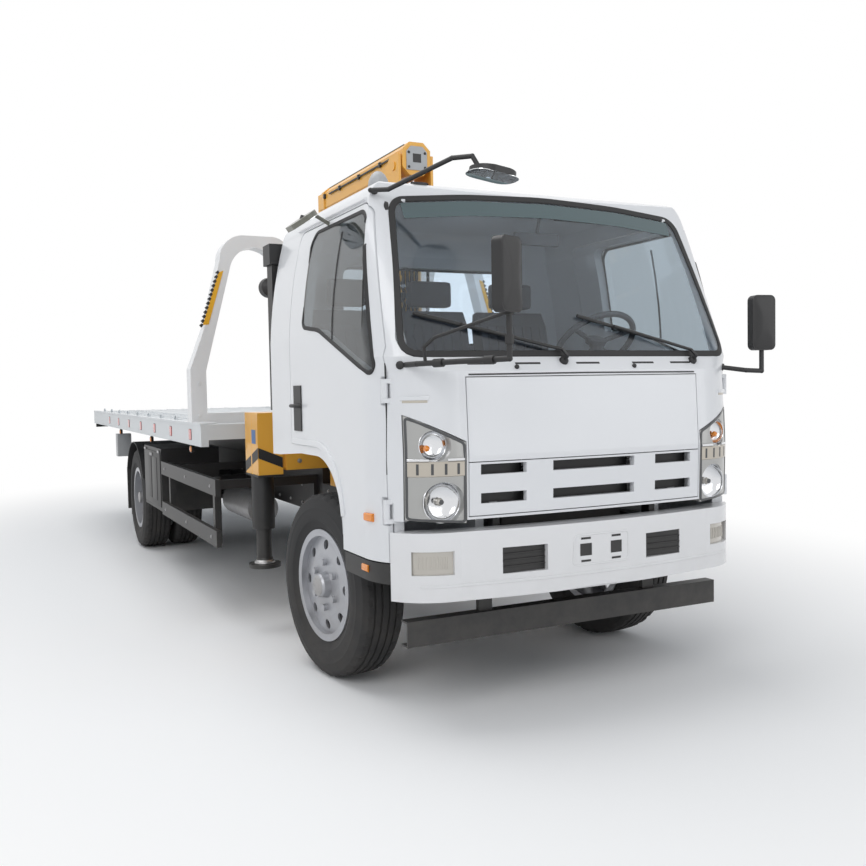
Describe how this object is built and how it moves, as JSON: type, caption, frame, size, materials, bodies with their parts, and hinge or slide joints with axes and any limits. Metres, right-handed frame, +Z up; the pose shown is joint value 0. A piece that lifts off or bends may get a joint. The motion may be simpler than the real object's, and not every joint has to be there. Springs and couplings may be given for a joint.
{
  "type": "flatbed tow truck",
  "caption": "Forward-control truck with a sliding and tilting flat bed, a headboard with arched windows, a column crane with outriggers behind the cab and a stowed lift arm at the tail.",
  "frame": {"origin": "on the ground under the middle of the truck's outline", "axes": "+X forward, +Y to the truck's left, +Z up"},
  "size_m": [8.3724, 2.314, 2.83],
  "materials": {
    "cab_paint": "gloss white cab paint",
    "chassis_black": "satin black chassis paint",
    "tyre": "matt tyre rubber",
    "wheel_silver": "silver wheel paint",
    "glass": "clear window glass",
    "lamp": "clear lamp lenses in a grey surround",
    "fog_lens": "clear fog lamp lenses",
    "grille_grey": "white grille with dark slots",
    "crane_orange": "orange crane paint",
    "rod_chrome": "polished piston rods",
    "steel": "bare steel",
    "bed_paint": "light grey bed paint",
    "headboard_paint": "white headboard paint",
    "red_marker": "red side markers",
    "tail_grey": "grey tail lamp boxes",
    "black_plastic": "black plastic",
    "mirror_shell": "dark mirror housings",
    "seat_fabric": "grey seat cloth",
    "dash_plastic": "dark grey dashboard plastic",
    "tank_metal": "tank metal",
    "engine_iron": "cast engine and gearbox"
  },
  "bodies": {
    "chassis": {"frame": "chassis_black", "front_axle": "chassis_black", "rear_axle": "chassis_black", "leaf_springs": "chassis_black", "powertrain": "engine_iron", "exhaust": "steel", "fuel_tank": "tank_metal", "front_bumper": "cab_paint", "fog_lamps": "fog_lens", "underrun_bar": "chassis_black", "tool_boxes": "chassis_black", "side_guards": "chassis_black", "rear_fenders": "black_plastic", "tail_lamps": "tail_grey", "crane_base": "crane_orange"},
    "knuckle_left": {"knuckle_left": "steel"},
    "knuckle_right": {"knuckle_right": "steel"},
    "wheel_front_left": {"tyre_front_left": "tyre", "rim_front_left": "wheel_silver"},
    "wheel_front_right": {"tyre_front_right": "tyre", "rim_front_right": "wheel_silver"},
    "wheel_rear_left": {"tyres_rear_left": "tyre", "rims_rear_left": "wheel_silver"},
    "wheel_rear_right": {"tyres_rear_right": "tyre", "rims_rear_right": "wheel_silver"},
    "cab": {"cab_shell": "cab_paint", "cab_glass": "glass", "front_lid": "cab_paint", "grille": "grille_grey", "headlamps": "lamp", "seats": "seat_fabric", "dashboard": "dash_plastic", "mirrors": "mirror_shell", "wipers": "black_plastic", "snorkel": "black_plastic", "cab_sills": "black_plastic"},
    "door_left": {"door_left": "cab_paint", "window_left": "glass"},
    "door_right": {"door_right": "cab_paint", "window_right": "glass", "kerb_mirror": "mirror_shell"},
    "crane_column": {"crane_column": "crane_orange"},
    "boom": {"boom_base": "crane_orange"},
    "boom_inner": {"boom_inner": "crane_orange"},
    "luff_barrel": {"luff_barrel": "crane_orange"},
    "luff_rod": {"luff_rod": "rod_chrome"},
    "outrigger_left": {"outrigger_left": "crane_orange"},
    "outrigger_right": {"outrigger_right": "crane_orange"},
    "jack_leg_left": {"jack_leg_left": "chassis_black"},
    "jack_leg_right": {"jack_leg_right": "chassis_black"},
    "tilt_frame": {"tilt_frame": "chassis_black"},
    "tilt_barrel": {"tilt_barrel": "chassis_black"},
    "tilt_rod": {"tilt_rod": "rod_chrome"},
    "bed": {"bed_deck": "bed_paint", "headboard": "headboard_paint", "side_markers": "red_marker", "winch": "chassis_black"},
    "underlift": {"underlift": "chassis_black"}
  },
  "joints": [
    {"name": "steer_left", "type": "hinge", "parent": "chassis", "child": "knuckle_left", "pos_m": [2.7398, 0.7, 0.447], "axis": [0, 0, 1], "range_deg": [-40.6, 27.4]},
    {"name": "steer_right", "type": "hinge", "parent": "chassis", "child": "knuckle_right", "pos_m": [2.7398, -0.7, 0.447], "axis": [0, 0, 1], "range_deg": [-40.6, 27.4]},
    {"name": "roll_front_left", "type": "hinge", "parent": "knuckle_left", "child": "wheel_front_left", "pos_m": [2.73003, 0.78444, 0.447], "axis": [-0.1149, 0.9934, 0], "continuous": true},
    {"name": "roll_front_right", "type": "hinge", "parent": "knuckle_right", "child": "wheel_front_right", "pos_m": [2.74957, -0.78444, 0.447], "axis": [-0.1149, 0.9934, 0], "continuous": true},
    {"name": "roll_rear_left", "type": "hinge", "parent": "chassis", "child": "wheel_rear_left", "pos_m": [-1.7502, 0.821, 0.447], "axis": [0, 1, 0], "continuous": true},
    {"name": "roll_rear_right", "type": "hinge", "parent": "chassis", "child": "wheel_rear_right", "pos_m": [-1.7502, -0.821, 0.447], "axis": [0, 1, 0], "continuous": true},
    {"name": "cab_tilt", "type": "hinge", "parent": "chassis", "child": "cab", "pos_m": [3.7148, 0, 0.9], "axis": [0, 1, 0], "range_deg": [0, 45]},
    {"name": "door_left_open", "type": "hinge", "parent": "cab", "child": "door_left", "pos_m": [3.5998, 0.896, 1.156], "axis": [0, 0, -1], "range_deg": [0, 65]},
    {"name": "door_right_open", "type": "hinge", "parent": "cab", "child": "door_right", "pos_m": [3.5998, -0.896, 1.156], "axis": [0, 0, 1], "range_deg": [0, 65]},
    {"name": "crane_slew", "type": "hinge", "parent": "chassis", "child": "crane_column", "pos_m": [1.7898, 0, 1.29], "axis": [0, 0, 1], "range_deg": [-120, 120]},
    {"name": "boom_luff", "type": "hinge", "parent": "crane_column", "child": "boom", "pos_m": [1.9798, 0, 2.7], "axis": [0, 1, 0], "range_deg": [0, 70]},
    {"name": "boom_extend", "type": "slide", "parent": "boom", "child": "boom_inner", "axis": [-1, 0, 0], "range_m": [0, 1.1]},
    {"name": "luff_barrel_swing", "type": "hinge", "parent": "crane_column", "child": "luff_barrel", "pos_m": [1.6098, 0, 2.42], "axis": [0, 1, 0], "range_deg": [0, 73.66]},
    {"name": "luff_rod_travel", "type": "slide", "parent": "luff_barrel", "child": "luff_rod", "axis": [-0.9865, 0, 0.1637], "range_m": [0, 0.5336]},
    {"name": "outrigger_left_out", "type": "slide", "parent": "chassis", "child": "outrigger_left", "axis": [0, 1, 0], "range_m": [0, 0.55]},
    {"name": "outrigger_right_out", "type": "slide", "parent": "chassis", "child": "outrigger_right", "axis": [0, -1, 0], "range_m": [0, 0.55]},
    {"name": "jack_left_down", "type": "slide", "parent": "outrigger_left", "child": "jack_leg_left", "axis": [0, 0, -1], "range_m": [0, 0.36]},
    {"name": "jack_right_down", "type": "slide", "parent": "outrigger_right", "child": "jack_leg_right", "axis": [0, 0, -1], "range_m": [0, 0.36]},
    {"name": "bed_tilt", "type": "hinge", "parent": "chassis", "child": "tilt_frame", "pos_m": [-3.1602, 0, 0.88], "axis": [0, -1, 0], "range_deg": [0, 15]},
    {"name": "bed_slide", "type": "slide", "parent": "tilt_frame", "child": "bed", "axis": [-1, 0, 0], "range_m": [0, 2.6]},
    {"name": "tilt_barrel_swing", "type": "hinge", "parent": "chassis", "child": "tilt_barrel", "pos_m": [-0.8602, 0, 0.69], "axis": [0, -1, 0], "range_deg": [0, 36.49]},
    {"name": "tilt_rod_travel", "type": "slide", "parent": "tilt_barrel", "child": "tilt_rod", "axis": [0.9712, 0, 0.2384], "range_m": [0, 0.3695]},
    {"name": "underlift_swing", "type": "hinge", "parent": "chassis", "child": "underlift", "pos_m": [-3.3502, 0, 0.56], "axis": [0, 1, 0], "range_deg": [-20, 8]}
  ],
  "couplings": [
    {"joint": "steer_right", "follows": "steer_left", "ratio": 1},
    {"joint": "luff_barrel_swing", "follows": "boom_luff", "ratio": 1.0452},
    {"joint": "luff_rod_travel", "follows": "boom_luff", "m_per_rad": 0.43271},
    {"joint": "tilt_barrel_swing", "follows": "bed_tilt", "ratio": 2.4124},
    {"joint": "tilt_rod_travel", "follows": "bed_tilt", "m_per_rad": 1.3961}
  ]
}
